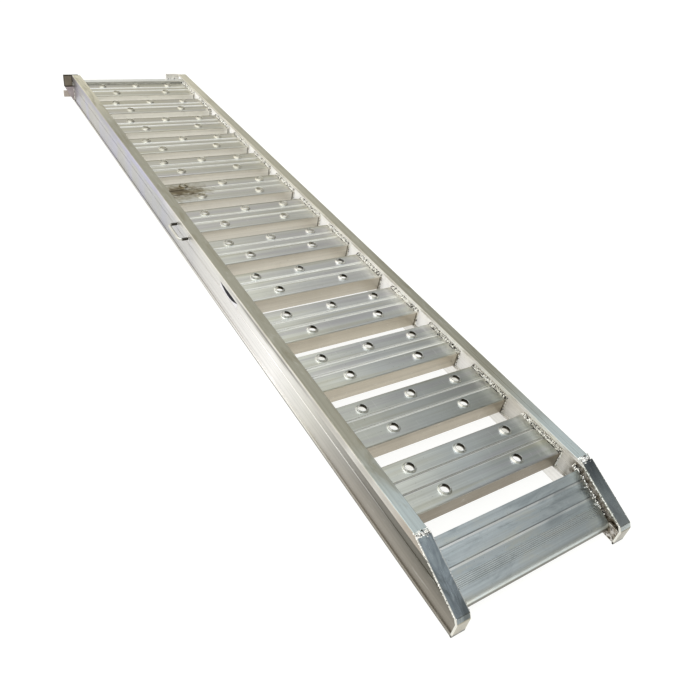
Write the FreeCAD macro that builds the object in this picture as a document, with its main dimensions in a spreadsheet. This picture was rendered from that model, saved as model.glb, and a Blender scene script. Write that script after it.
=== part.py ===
import FreeCAD, Part
import math
import os
import Sketcher

# A welded aluminium loading ramp: two hollow rails, thirteen grooved rungs, a sloped foot plank,
# an end angle with two hook plates, a side handle and the weld beads that hold it all together.
# X runs across the ramp, Y along it towards the top end, Z up. The floor is at Z = 0, and the
# origin is the middle of the space that the ramp takes up on the floor.

RUNG_COUNT = 13
SAME = 0.01

SIZES = (
    # Both rails: one hollow extrusion, seen in section.
    ("rail_length", 2500),
    ("rail_height", 104),
    ("rail_width", 32),
    ("rail_wall", 3),
    ("clear_width", 405),
    ("lip_height", 19),
    ("lip_proud", 3),
    ("rib_height", 7),
    ("rib_proud", 1.2),
    ("rib_drop", 41.5),
    ("toe_lip_height", 8),
    ("flange_edge", 8),
    ("flange_taper", 8),
    ("flange_overhang", 12.5),
    ("ledge_height", 34),
    ("bulb_setback", 2.8),
    ("corner_round", 3),
    ("lip_round", 1.5),
    ("rib_round", 0.6),
    # Rungs: inverted channels that stand on the rails' inner ledges.
    ("first_rung_setback", 93.7),
    ("last_rung_setback", 258.3),
    ("rung_depth", 125),
    ("rung_drop", 26),
    ("rung_wall", 4.5),
    ("rung_round", 4),
    ("groove_place", 15.3),
    ("groove_width", 5),
    ("groove_depth", 2.8),
    ("groove_round", 1.2),
    # Punched grip holes, three in the row towards the top end and two in the other.
    ("grip_bore", 21),
    ("grip_base", 28.5),
    ("grip_rise", 5),
    ("grip_slant", 24),
    ("grip_lip_round", 0.6),
    ("grip_base_round", 2),
    ("grip_row", 37),
    ("grip_wide", 133),
    ("grip_narrow", 99),
    # The sloped nose of each rail and the bent cap strip that closes it.
    ("nose_run", 140),
    ("nose_height", 50),
    ("nose_bend", 7),
    ("nose_drop", 10),
    ("cap_wall", 4),
    ("cap_sink", 2.7),
    # The foot plank between the noses.
    ("plank_depth", 113),
    ("plank_thick", 37),
    ("plank_wall", 4),
    ("plank_nose_flat", 0.02),
    ("plank_setback", 142),
    ("plank_band", 38),
    ("plank_groove_width", 5),
    ("plank_groove_depth", 3),
    # The end plate, the hook plates and the left one's gusset at the top end.
    ("end_plate_thick", 5),
    ("end_plate_drop", 18),
    ("end_flange_depth", 28),
    ("hook_width", 55.5),
    ("hook_thick", 8),
    ("hook_overhang", 31.5),
    ("hook_spine", 21),
    ("hook_arm_height", 43),
    ("hook_mouth", 18),
    ("toe_height", 23),
    ("toe_extra", 4),
    ("gusset_thick", 6),
    # The carrying handle on the left rail.
    ("handle_rod", 8),
    ("handle_span", 86),
    ("handle_reach", 28),
    ("handle_bend", 12),
    ("handle_drop", 24.5),
    ("handle_place", 34),
    ("handle_weld", 1.4),
    ("handle_weld_gap", 0.1),
    # The vinyl label on the left rail.
    ("label_length", 106),
    ("label_height", 20),
    ("label_thick", 0.4),
    ("label_drop", 20.5),
    ("label_place", -288),
    # Weld beads in the inner corners.
    ("bead", 5),
    ("plank_bead_rise", 3),
    ("plank_bead_depth", 8),
)

doc = FreeCAD.newDocument("LoadingRamp")
sheet = doc.addObject("Spreadsheet::Sheet", "Sizes")
for row, (name, size) in enumerate(SIZES, start=1):
    sheet.set(f"A{row}", name)
    sheet.set(f"B{row}", str(size))
    sheet.setAlias(f"B{row}", name)
doc.recompute()

# Places that several pieces share, written in the sheet's sizes.
S = "Sizes."
SHIFT_X = f"({S}hook_overhang + {S}toe_extra) / 2"
SHIFT_Y = f"-{S}hook_thick / 2"
HALF_CLEAR = f"{S}clear_width / 2"
OUTER = f"({HALF_CLEAR} + {S}rail_width)"
WEB_OUT = f"({OUTER} - {S}lip_proud)"
WEB_IN = f"({HALF_CLEAR} + {S}flange_overhang)"
BULB = f"({HALF_CLEAR} + {S}bulb_setback)"
NEAR = f"(-{S}rail_length / 2)"
FAR = f"({S}rail_length / 2)"
RUNG_HEIGHT = f"({S}rail_height - {S}ledge_height - {S}rung_drop)"
RUNG_PITCH = (f"(({S}rail_length - {S}first_rung_setback - {S}last_rung_setback)"
              f" / {RUNG_COUNT - 1})")
END_PLATE_TOP = f"({S}rail_height - {S}end_plate_drop)"
HOOK_ARM_BOTTOM = f"({S}rail_height - {S}hook_arm_height)"
TOE_TOP = f"({HOOK_ARM_BOTTOM} - {S}hook_mouth)"
TOE_BOTTOM = f"({TOE_TOP} - {S}toe_height)"
NOSE_SLOPE = (f"(({S}rail_height - {S}nose_height)"
              f" / ({S}nose_run - {S}nose_bend))")
NOSE_ANGLE = f"atan({NOSE_SLOPE})"
PLANK_ROUND = f"({S}plank_thick / 2)"
PLANK_Y = f"({NEAR} + {S}plank_setback)"
PLANK_Z = (f"({PLANK_ROUND} + {PLANK_ROUND} * cos({NOSE_ANGLE})"
           f" + {S}plank_depth * sin({NOSE_ANGLE}))")
LEFT = -1
RIGHT = 1

pieces = []


def value(expression):
    """The number that an expression in the sheet's sizes gives."""
    result = sheet.evalExpression(str(expression).replace(S, ""))
    return float(getattr(result, "Value", result))


def keep(piece, label, x="0", y="0", z="0"):
    """Name a finished piece and set its place in the ramp's frame."""
    piece.Label = label
    piece.setExpression("Placement.Base.x", f"{SHIFT_X} + {x}")
    piece.setExpression("Placement.Base.y", f"{SHIFT_Y} + {y}")
    piece.setExpression("Placement.Base.z", f"{z}")
    pieces.append(piece)
    return piece


def new_body(label, x="0", y="0", z="0"):
    return keep(doc.addObject("PartDesign::Body", label), label, x, y, z)


def sketch_on(body, plane, lift="0"):
    """An empty sketch on one of the body's own origin planes, raised along its normal."""
    sketch = body.newObject("Sketcher::SketchObject", f"{body.Name}_sketch")
    support = next(item for item in body.Origin.OriginFeatures if item.Role == plane)
    sketch.AttachmentSupport = [(support, "")]
    sketch.MapMode = "FlatFace"
    sketch.setExpression("AttachmentOffset.Base.z", str(lift))
    return sketch


def pin(sketch, geometry, point, across, up):
    """Tie one point of a sketch to two expressions."""
    for kind, expression in (("DistanceX", across), ("DistanceY", up)):
        constraint = Sketcher.Constraint(kind, -1, 1, geometry, point, value(expression))
        index = sketch.addConstraint(constraint)
        sketch.setExpression(f"Constraints[{index}]", str(expression))


def add_outline(sketch, corners):
    """A closed outline of straight lines whose corners are pairs of expressions."""
    first = sketch.GeometryCount
    count = len(corners)
    spots = [FreeCAD.Vector(value(across), value(up), 0) for across, up in corners]
    for index, spot in enumerate(spots):
        sketch.addGeometry(Part.LineSegment(spot, spots[(index + 1) % count]), False)
    for index, (across, up) in enumerate(corners):
        following = first + (index + 1) % count
        sketch.addConstraint(Sketcher.Constraint("Coincident", first + index, 2, following, 1))
        pin(sketch, first + index, 1, across, up)


def add_circles(sketch, centres, radius):
    """Equal circles whose centres are pairs of expressions."""
    for across, up in centres:
        centre = FreeCAD.Vector(value(across), value(up), 0)
        circle = sketch.addGeometry(Part.Circle(centre, FreeCAD.Vector(0, 0, 1), value(radius)), False)
        pin(sketch, circle, 3, across, up)
        index = sketch.addConstraint(Sketcher.Constraint("Radius", circle, value(radius)))
        sketch.setExpression(f"Constraints[{index}]", radius)


def pad(body, sketch, length, centred=False):
    feature = body.newObject("PartDesign::Pad", f"{body.Name}_pad")
    feature.Profile = sketch
    feature.Midplane = centred
    feature.setExpression("Length", length)
    return feature


def pocket(body, sketch):
    """Cut a sketch's outline right through the body, both ways."""
    feature = body.newObject("PartDesign::Pocket", f"{body.Name}_pocket")
    feature.Profile = sketch
    feature.Type = "ThroughAll"
    feature.Midplane = True
    return feature


def rounded(body, base, radius, wanted):
    """Round the edges of a feature that a test on each edge picks."""
    doc.recompute()
    names = [f"Edge{number}" for number, edge in enumerate(base.Shape.Edges, start=1) if wanted(edge)]
    feature = body.newObject("PartDesign::Fillet", f"{body.Name}_fillet")
    feature.Base = (base, names)
    feature.setExpression("Radius", radius)
    return feature


def runs_along(edge, axis, spots):
    """True for an edge parallel to an axis that passes one of the spots in the other two."""
    start, end = edge.Vertexes[0].Point, edge.Vertexes[-1].Point
    others = [item for item in range(3) if item != axis]
    if any(abs(start[item] - end[item]) > SAME for item in others):
        return False
    return any(math.hypot(start[others[0]] - first, start[others[1]] - second) < SAME
               for first, second in spots)


def bead_group(label, beads, y="0", z="0"):
    """Straight weld beads: each is an outline in one plane, drawn out along that plane's normal."""
    bodies = []
    for plane, corners, lift, length in beads:
        body = doc.addObject("PartDesign::Body", f"{label}_bead")
        sketch = sketch_on(body, plane, lift)
        add_outline(sketch, corners)
        pad(body, sketch, length)
        bodies.append(body)
    group = doc.addObject("Part::Compound", label)
    group.Links = bodies
    return keep(group, label, y=y, z=z)


def tilt(piece):
    """Tilt a piece to the slope of the rails' noses."""
    piece.Placement.Rotation = FreeCAD.Rotation(FreeCAD.Vector(1, 0, 0), 0)
    piece.setExpression("Placement.Rotation.Angle", NOSE_ANGLE)


# ---------------------------------------------------------------------------------- the rails

def rail(side, label):
    """One hollow rail, cut off along the slope of its nose."""
    top = f"{S}rail_height"
    rib_top = f"{top} - {S}rib_drop"
    cavity_in = f"({WEB_IN} + {S}rail_wall)"
    cavity_out = f"({WEB_OUT} - {S}rail_wall)"
    section = (
        (HALF_CLEAR, top),
        (OUTER, top),
        (OUTER, f"{top} - {S}lip_height"),
        (WEB_OUT, f"{top} - {S}lip_height"),
        (WEB_OUT, rib_top),
        (f"{WEB_OUT} + {S}rib_proud", rib_top),
        (f"{WEB_OUT} + {S}rib_proud", f"{rib_top} - {S}rib_height"),
        (WEB_OUT, f"{rib_top} - {S}rib_height"),
        (WEB_OUT, f"{S}toe_lip_height"),
        (OUTER, f"{S}toe_lip_height"),
        (OUTER, "0"),
        (BULB, "0"),
        (BULB, f"{S}ledge_height"),
        (WEB_IN, f"{S}ledge_height"),
        (WEB_IN, f"{top} - {S}flange_edge - {S}flange_taper"),
        (HALF_CLEAR, f"{top} - {S}flange_edge"),
    )
    hollow = (
        (f"{HALF_CLEAR} + {S}rail_wall", f"{top} - {S}rail_wall"),
        (cavity_out, f"{top} - {S}rail_wall"),
        (cavity_out, f"{S}rail_wall"),
        (f"{BULB} + {S}rail_wall", f"{S}rail_wall"),
        (f"{BULB} + {S}rail_wall", f"{S}ledge_height - {S}rail_wall"),
        (cavity_in, f"{S}ledge_height - {S}rail_wall"),
        (cavity_in, f"{top} - {S}flange_edge - {S}flange_taper + {S}rail_wall / 2"),
        (f"{HALF_CLEAR} + {S}rail_wall", f"{top} - {S}flange_edge + {S}rail_wall / 2"),
    )
    body = new_body(label)
    sketch = sketch_on(body, "XZ_Plane")
    for corners in (section, hollow):
        add_outline(sketch, [(f"{side} * ({across})", up) for across, up in corners])
    bar = pad(body, sketch, f"{S}rail_length", centred=True)

    reach = {name: side * value(place) for name, place in
             (("clear", HALF_CLEAR), ("outer", OUTER), ("web", WEB_OUT), ("bulb", BULB), ("in", WEB_IN))}
    height = value(top)
    lip_bottom = height - value(f"{S}lip_height")
    ledge = value(f"{S}ledge_height")
    bar = rounded(body, bar, f"{S}corner_round", lambda edge: runs_along(
        edge, 1, ((reach["outer"], height),)))
    bar = rounded(body, bar, f"{S}lip_round", lambda edge: runs_along(
        edge, 1, ((reach["clear"], height), (reach["outer"], lip_bottom), (reach["bulb"], ledge),
                  (reach["clear"], height - value(f"{S}flange_edge")), (reach["outer"], 0),
                  (reach["bulb"], 0))))
    rounded(body, bar, f"{S}rib_round", lambda edge: runs_along(
        edge, 1, ((reach["web"] + side * value(f"{S}rib_proud"), value(rib_top)),
                  (reach["web"] + side * value(f"{S}rib_proud"), value(f"{rib_top} - {S}rib_height")),
                  (reach["outer"], value(f"{S}toe_lip_height")))))

    # The cut runs past the rail: by a fifth of the slope at its top and by 20 mm elsewhere.
    beyond = 1.2
    spare = 20
    inner_bend = f"{NEAR} + {S}nose_bend + {S}cap_wall"
    cut = (
        (f"{NEAR} - {spare}", f"-{spare}"),
        (f"{NEAR} + {S}cap_wall", f"-{spare}"),
        (f"{NEAR} + {S}cap_wall", f"{S}nose_height - {S}nose_drop - {S}cap_sink"),
        (inner_bend, f"{S}nose_height - {S}cap_sink"),
        (f"{inner_bend} + {beyond} * ({S}nose_run - {S}nose_bend)",
         f"{S}nose_height - {S}cap_sink + {beyond} * ({S}rail_height - {S}nose_height)"),
        (f"{NEAR} - {spare}",
         f"{S}nose_height - {S}cap_sink + {beyond} * ({S}rail_height - {S}nose_height)"),
    )
    sketch = sketch_on(body, "YZ_Plane")
    add_outline(sketch, cut)
    pocket(body, sketch)


# -------------------------------------------------------------------------------- the nose caps

def nose_cap(side, label):
    """A strip bent over the slope and the end of one rail, as wide as the rail's top flange."""
    outer = (
        (f"{NEAR} + {S}nose_run", f"{S}rail_height"),
        (f"{NEAR} + {S}nose_bend", f"{S}nose_height"),
        (NEAR, f"{S}nose_height - {S}nose_drop"),
        (NEAR, "0"),
    )
    inner = [(f"{across} + {S}cap_wall", f"{up} - {S}cap_sink") for across, up in outer[:3]]
    inner.append((f"{NEAR} + {S}cap_wall", "0"))
    body = new_body(label)
    start = HALF_CLEAR if side == RIGHT else f"-{OUTER}"
    sketch = sketch_on(body, "YZ_Plane", start)
    add_outline(sketch, list(outer) + inner[::-1])
    strip = pad(body, sketch, f"{S}rail_width")
    bend = value(f"{NEAR} + {S}nose_bend")
    end = value(NEAR)
    rounded(body, strip, f"{S}cap_wall", lambda edge: runs_along(
        edge, 0, ((bend, value(f"{S}nose_height")),
                  (end, value(f"{S}nose_height - {S}nose_drop")))))


# ------------------------------------------------------------------------------------ the rungs

def grooved_top(edge_near, edge_far, top, grooves, width, depth):
    """Corners of a flat top from its near edge to its far edge, with square grooves in it."""
    corners = [(edge_near, top)]
    for middle in grooves:
        corners.append((f"{middle} - {width} / 2", top))
        corners.append((f"{middle} - {width} / 2", f"{top} - {depth}"))
        corners.append((f"{middle} + {width} / 2", f"{top} - {depth}"))
        corners.append((f"{middle} + {width} / 2", top))
    corners.append((edge_far, top))
    return corners


def rung_middle(number):
    """How far along the ramp a rung's middle lies; rung 1 is the top-most."""
    return f"{FAR} - {S}first_rung_setback - {number - 1} * {RUNG_PITCH}"


def rung(number):
    """One tread: an inverted channel with two grooves and five punched grip holes."""
    half = f"{S}rung_depth / 2"
    top = RUNG_HEIGHT
    wall = f"{S}rung_wall"
    body = new_body(f"rung_{number:02d}", y=rung_middle(number), z=f"{S}ledge_height")
    section = [(f"-{half}", "0")]
    section += grooved_top(f"-{half}", half, top, (f"-{S}groove_place", f"{S}groove_place"),
                           f"{S}groove_width", f"{S}groove_depth")
    section += [
        (half, "0"),
        (f"{half} - {wall}", "0"),
        (f"{half} - {wall}", f"{top} - {wall}"),
        (f"-{half} + {wall}", f"{top} - {wall}"),
        (f"-{half} + {wall}", "0"),
    ]
    sketch = sketch_on(body, "YZ_Plane")
    add_outline(sketch, section)
    tread = pad(body, sketch, f"2 * {WEB_IN}", centred=True)
    high = value(top)
    edge_spots = [(sign * value(half), high) for sign in (-1, 1)]
    groove_spots = [(place * value(f"{S}groove_place") + sign * value(f"{S}groove_width") / 2, high)
                    for place in (-1, 1) for sign in (-1, 1)]
    tread = rounded(body, tread, f"{S}rung_round", lambda edge: runs_along(edge, 0, edge_spots))
    tread = rounded(body, tread, f"{S}groove_round", lambda edge: runs_along(edge, 0, groove_spots))

    grips = [(f"{sign} * {S}grip_wide", f"{S}grip_row") for sign in (-1, 0, 1)]
    grips += [(f"{sign} * {S}grip_narrow", f"-{S}grip_row") for sign in (-1, 1)]
    collars = sketch_on(body, "XY_Plane", top)
    add_circles(collars, grips, f"{S}grip_base / 2")
    raised = pad(body, collars, f"{S}grip_rise")
    raised.setExpression("TaperAngle", f"-{S}grip_slant")
    bores = sketch_on(body, "XY_Plane")
    add_circles(bores, grips, f"{S}grip_bore / 2")
    punched = pocket(body, bores)
    lip_height = value(f"{top} + {S}grip_rise")
    punched = rounded(body, punched, f"{S}grip_lip_round", lambda edge: edge.Closed and abs(
        edge.Vertexes[0].Z - lip_height) < SAME)
    base_radius = value(f"{S}grip_base / 2")
    rounded(body, punched, f"{S}grip_base_round", lambda edge: edge.Closed
            and abs(edge.Curve.Radius - base_radius) < SAME and abs(edge.Vertexes[0].Z - high) < SAME)


# ------------------------------------------------------------------------------- the foot plank

def foot_plank():
    """A hollow plank with a half-round nose that lies on the floor, tilted like the rails' noses."""
    depth = f"{S}plank_depth"
    body = new_body("foot_plank", y=PLANK_Y, z=PLANK_Z)
    tilt(body)
    sketch = sketch_on(body, "YZ_Plane")
    grooves = (f"-2 * {S}plank_band", f"-{S}plank_band")
    section = grooved_top(f"-{depth} - {PLANK_ROUND}", "0", "0", grooves,
                          f"{S}plank_groove_width", f"{S}plank_groove_depth")
    section += [("0", f"-{S}plank_thick"), (f"-{depth} - {PLANK_ROUND}", f"-{S}plank_thick")]
    add_outline(sketch, section)
    wall = f"{S}plank_wall"
    rib = f"({S}plank_groove_depth + {wall})"
    add_outline(sketch, (
        (f"-{depth}", f"-{rib}"),
        (f"-{wall}", f"-{rib}"),
        (f"-{wall}", f"-{S}plank_thick + {wall}"),
        (f"-{depth}", f"-{S}plank_thick + {wall}"),
    ))
    plank = pad(body, sketch, f"2 * {BULB}", centred=True)
    front = value(f"-{depth} - {PLANK_ROUND}")
    rounded(body, plank, f"{PLANK_ROUND} - {S}plank_nose_flat / 2", lambda edge: runs_along(
        edge, 0, ((front, 0), (front, -value(f"{S}plank_thick")))))


# ------------------------------------------------------------------------------------ top end

def end_plate():
    """The angle that closes the top end: its leg stands on the rails' ledges, its flange points inwards."""
    body = new_body("end_plate", y=FAR)
    sketch = sketch_on(body, "YZ_Plane")
    wall = f"{S}end_plate_thick"
    add_outline(sketch, (
        ("0", f"{S}ledge_height"),
        ("0", END_PLATE_TOP),
        (f"-{S}end_flange_depth", END_PLATE_TOP),
        (f"-{S}end_flange_depth", f"{END_PLATE_TOP} - {wall}"),
        (f"-{wall}", f"{END_PLATE_TOP} - {wall}"),
        (f"-{wall}", f"{S}ledge_height"),
    ))
    pad(body, sketch, f"2 * {WEB_IN}", centred=True)


def hook_plate(label, left_edge):
    """A thick plate with an arm and a toe that reach out to the left of its spine."""
    spine = f"({S}hook_width - {S}hook_spine)"
    body = new_body(label, x=left_edge, y=FAR)
    sketch = sketch_on(body, "XZ_Plane", f"-{S}hook_thick")
    add_outline(sketch, (
        ("0", f"{S}rail_height"),
        ("0", HOOK_ARM_BOTTOM),
        (spine, HOOK_ARM_BOTTOM),
        (spine, TOE_TOP),
        (f"-{S}toe_extra", TOE_TOP),
        (f"-{S}toe_extra", TOE_BOTTOM),
        (f"{S}hook_width", TOE_BOTTOM),
        (f"{S}hook_width", f"{S}rail_height"),
    ))
    pad(body, sketch, f"{S}hook_thick")


def hook_gusset():
    """A three-cornered plate under the left hook plate's arm, welded upright to the rail's web."""
    body = new_body("left_hook_gusset", y=f"{FAR} - {S}gusset_thick")
    sketch = sketch_on(body, "XZ_Plane", f"-{S}gusset_thick")
    rib = f"({WEB_OUT} + {S}rib_proud)"
    rib_bottom = f"({S}rail_height - {S}rib_drop - {S}rib_height)"
    foot = f"({S}hook_overhang * {S}toe_lip_height / {HOOK_ARM_BOTTOM})"
    add_outline(sketch, (
        (f"-{WEB_OUT}", f"{S}toe_lip_height"),
        (f"-{WEB_OUT}", rib_bottom),
        (f"-{rib}", rib_bottom),
        (f"-{rib}", HOOK_ARM_BOTTOM),
        (f"-{OUTER} - {S}hook_overhang", HOOK_ARM_BOTTOM),
        (f"-{OUTER} - {foot}", f"{S}toe_lip_height"),
    ))
    pad(body, sketch, f"{S}gusset_thick")


# --------------------------------------------------------------------------- handle and label

def handle_bar(name, x, y, length):
    """One straight run of the handle's rod, starting at a place in the handle's plane."""
    rod = doc.addObject("Part::Cylinder", name)
    rod.setExpression("Radius", f"{S}handle_rod / 2")
    rod.setExpression("Height", length)
    rod.setExpression("Placement.Base.x", x)
    rod.setExpression("Placement.Base.y", y)
    return rod


def side_handle():
    """A bent rod welded to the left rail: two legs, two bends and a grip."""
    root = WEB_OUT
    tip = f"({OUTER} + {S}handle_reach - {S}handle_rod / 2)"
    bend = f"{S}handle_bend"
    half = f"{S}handle_span / 2"
    across = FreeCAD.Rotation(FreeCAD.Vector(0, 1, 0), 90)
    along = FreeCAD.Rotation(FreeCAD.Vector(1, 0, 0), -90)
    runs = []
    for sign, name in ((-1, "handle_leg_near"), (1, "handle_leg_far")):
        leg = handle_bar(name, f"-({tip} - {bend})", f"{sign} * {half}", f"{tip} - {bend} - {root}")
        leg.Placement.Rotation = across
        runs.append(leg)
    grip = handle_bar("handle_grip", f"-{tip}", f"-({half} - {bend})", f"2 * ({half} - {bend})")
    grip.Placement.Rotation = along
    runs.append(grip)
    for sign, turn in ((1, 90), (-1, 180)):
        corner = doc.addObject("Part::Torus", "handle_bend")
        corner.setExpression("Radius1", bend)
        corner.setExpression("Radius2", f"{S}handle_rod / 2")
        corner.Angle3 = 90
        corner.Placement.Rotation = FreeCAD.Rotation(FreeCAD.Vector(0, 0, 1), turn)
        corner.setExpression("Placement.Base.x", f"-({tip} - {bend})")
        corner.setExpression("Placement.Base.y", f"{sign} * ({half} - {bend})")
        runs.append(corner)
    handle = doc.addObject("Part::MultiFuse", "side_handle")
    handle.Shapes = runs
    keep(handle, "side_handle", y=f"{S}handle_place", z=f"{S}rail_height - {S}handle_drop")


def side_label():
    """A thin printed vinyl label on the left rail's web, between its lip and its rib."""
    label = doc.addObject("Part::Box", "side_label")
    label.setExpression("Length", f"{S}label_thick")
    label.setExpression("Width", f"{S}label_length")
    label.setExpression("Height", f"{S}label_height")
    keep(label, "side_label", x=f"-{WEB_OUT} - {S}label_thick", y=f"{S}label_place - {S}label_length / 2",
         z=f"{S}rail_height - {S}label_drop - {S}label_height")


# ------------------------------------------------------------------------------- weld beads

def corner_bead(corner_across, corner_up, across, up):
    """A right-angled triangle in an inner corner, reaching one bead along each of its faces."""
    return (
        (corner_across, corner_up),
        (f"{corner_across} + {across} * {S}bead", corner_up),
        (corner_across, f"{corner_up} + {up} * {S}bead"),
    )


def rung_welds(side, label):
    """Three beads at one end of every rung: along its top and up both of its side walls."""
    half = f"{S}rung_depth / 2"
    web = f"{side} * {WEB_IN}"
    rung_top = f"{S}ledge_height + {RUNG_HEIGHT}"
    beads = []
    for number in range(1, RUNG_COUNT + 1):
        middle = rung_middle(number)
        flat = f"{S}rung_depth - 2 * {S}rung_round"
        beads.append(("XZ_Plane", corner_bead(web, rung_top, -side, 1),
                      f"-({middle} + {half} - {S}rung_round)", flat))
        for sign in (-1, 1):
            face = f"{middle} + {sign} * {half}"
            beads.append(("XY_Plane", corner_bead(web, face, -side, sign),
                          f"{S}ledge_height", f"{RUNG_HEIGHT} - {S}rung_round"))
    bead_group(label, beads)


def nose_cap_welds():
    """The bead across each cap's top edge and the one under its inner edge."""
    top_bead = (
        (f"{NEAR} + {S}nose_run", f"{S}rail_height"),
        (f"{NEAR} + {S}nose_run + {S}cap_wall", f"{S}rail_height - {S}cap_sink"),
        (f"{NEAR} + {S}nose_run + {S}cap_wall + {S}cap_sink / {NOSE_SLOPE}", f"{S}rail_height"),
    )
    start = f"{S}nose_bend + {S}cap_wall"
    under = f"({S}nose_height - {S}cap_sink)"
    high = f"({S}rail_height - {S}flange_edge - {S}flange_taper - {S}bead / 2)"
    run = f"(({high} - {under}) / {NOSE_SLOPE})"
    long_bead = (
        (f"{NEAR} + {start}", under),
        (f"{NEAR} + {start} + {run}", high),
        (f"{NEAR} + {start} + {run}", f"{high} - {S}bead"),
        (f"{NEAR} + {start}", f"{under} - {S}bead"),
    )
    beads = []
    for side in (LEFT, RIGHT):
        wide = HALF_CLEAR if side == RIGHT else f"-{OUTER}"
        thin = f"{WEB_IN} - {S}bead" if side == RIGHT else f"-{WEB_IN}"
        beads.append(("YZ_Plane", top_bead, wide, f"{S}rail_width"))
        beads.append(("YZ_Plane", long_bead, thin, f"{S}bead"))
    bead_group("nose_cap_welds", beads)


def foot_plank_welds():
    """The bead that fills the gap between each end of the foot plank and the rail's web.

    It runs down the slope until its underside meets the rail's ledge."""
    under = f"({S}plank_bead_depth - {S}plank_bead_rise) * cos({NOSE_ANGLE})"
    long_side = f"min({S}plank_depth; ({PLANK_Z} - {S}ledge_height - {under}) / sin({NOSE_ANGLE}))"
    corners = (
        ("0", f"{S}plank_bead_rise"),
        ("0", f"{S}plank_bead_rise - {S}plank_bead_depth"),
        (f"-{long_side}", f"{S}plank_bead_rise - {S}plank_bead_depth"),
        (f"-{long_side}", f"{S}plank_bead_rise"),
    )
    beads = [("YZ_Plane", corners, f"-{WEB_IN}", f"{WEB_IN} - {BULB}"),
             ("YZ_Plane", corners, BULB, f"{WEB_IN} - {BULB}")]
    tilt(bead_group("foot_plank_welds", beads, y=PLANK_Y, z=PLANK_Z))


def end_plate_welds():
    """An upright bead in each corner between the end plate and a rail."""
    wall = f"{S}end_plate_thick"
    beads = []
    for side in (LEFT, RIGHT):
        beads.append(("XY_Plane", corner_bead(f"{side} * {WEB_IN}", f"{FAR} - {wall}", -side, -1),
                      f"{S}ledge_height", f"{END_PLATE_TOP} - {wall} - {S}ledge_height"))
    bead_group("end_plate_welds", beads)


def hook_welds():
    """Beads behind the left hook plate's arm, along its gusset, and beside and below the right one."""
    web = f"-{WEB_OUT}"
    lip_bottom = f"({S}rail_height - {S}lip_height)"
    left_corner = corner_bead(web, FAR, -1, -1)
    right_corner = corner_bead(f"{HALF_CLEAR} - {S}hook_width", FAR, -1, 1)
    seat = corner_bead(f"{FAR}", END_PLATE_TOP, -1, 1)
    rib_top = f"({S}rail_height - {S}rib_drop)"
    gusset_corner = corner_bead(web, f"({FAR} - {S}gusset_thick)", -1, -1)
    gusset_high = f"({rib_top} - {S}rib_height)"
    beads = [
        ("XY_Plane", left_corner, rib_top, f"{lip_bottom} - {rib_top}"),
        ("XY_Plane", gusset_corner, f"{S}toe_lip_height", f"{gusset_high} - {S}toe_lip_height"),
        ("XY_Plane", right_corner, HOOK_ARM_BOTTOM, f"{END_PLATE_TOP} - {HOOK_ARM_BOTTOM}"),
        ("YZ_Plane", seat, f"{HALF_CLEAR} - {S}hook_width", f"{S}hook_width"),
    ]
    bead_group("hook_welds", beads)


def handle_welds():
    """A ring of weld round the root of each handle leg."""
    rings = []
    for sign in (-1, 1):
        ring = doc.addObject("Part::Cone", "handle_ring")
        ring.setExpression("Radius1", f"{S}handle_rod / 2 + {S}handle_weld")
        ring.setExpression("Radius2", f"{S}handle_rod / 2 + 2 * {S}handle_weld_gap")
        ring.setExpression("Height", f"{S}bead")
        hole = doc.addObject("Part::Cylinder", "handle_ring_hole")
        hole.setExpression("Radius", f"{S}handle_rod / 2 + {S}handle_weld_gap")
        hole.setExpression("Height", f"{S}bead")
        cut = doc.addObject("Part::Cut", "handle_weld_ring")
        cut.Base = ring
        cut.Tool = hole
        cut.Placement.Rotation = FreeCAD.Rotation(FreeCAD.Vector(0, 1, 0), -90)
        cut.setExpression("Placement.Base.x", f"-{WEB_OUT}")
        cut.setExpression("Placement.Base.y", f"{sign} * {S}handle_span / 2")
        rings.append(cut)
    group = doc.addObject("Part::Compound", "handle_welds")
    group.Links = rings
    keep(group, "handle_welds", y=f"{S}handle_place", z=f"{S}rail_height - {S}handle_drop")


# --------------------------------------------------------------------------------- the whole

rail(LEFT, "left_rail")
rail(RIGHT, "right_rail")
nose_cap(LEFT, "left_nose_cap")
nose_cap(RIGHT, "right_nose_cap")
for number in range(1, RUNG_COUNT + 1):
    rung(number)
foot_plank()
end_plate()
hook_plate("left_hook_plate", f"-{OUTER} - {S}hook_overhang")
hook_plate("right_hook_plate", f"{HALF_CLEAR} - {S}hook_width")
hook_gusset()
side_handle()
side_label()
rung_welds(LEFT, "left_rung_welds")
rung_welds(RIGHT, "right_rung_welds")
nose_cap_welds()
foot_plank_welds()
end_plate_welds()
hook_welds()
handle_welds()
doc.recompute()

for item in doc.Objects:
    if {"Invalid", "Error"} & set(item.State):
        raise RuntimeError(f"{item.Label} failed: {item.State}")
for piece in pieces:
    if piece.Shape.isNull() or not piece.Shape.isValid():
        raise RuntimeError(f"{piece.Label} has no valid shape")

os.makedirs("parts", exist_ok=True)
for piece in pieces:
    piece.Shape.exportStep(f"parts/{piece.Label}.step")
    print(piece.Label, len(piece.Shape.Solids), round(piece.Shape.Volume))
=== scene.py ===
import math

import bpy
from mathutils import Matrix, Vector


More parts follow.
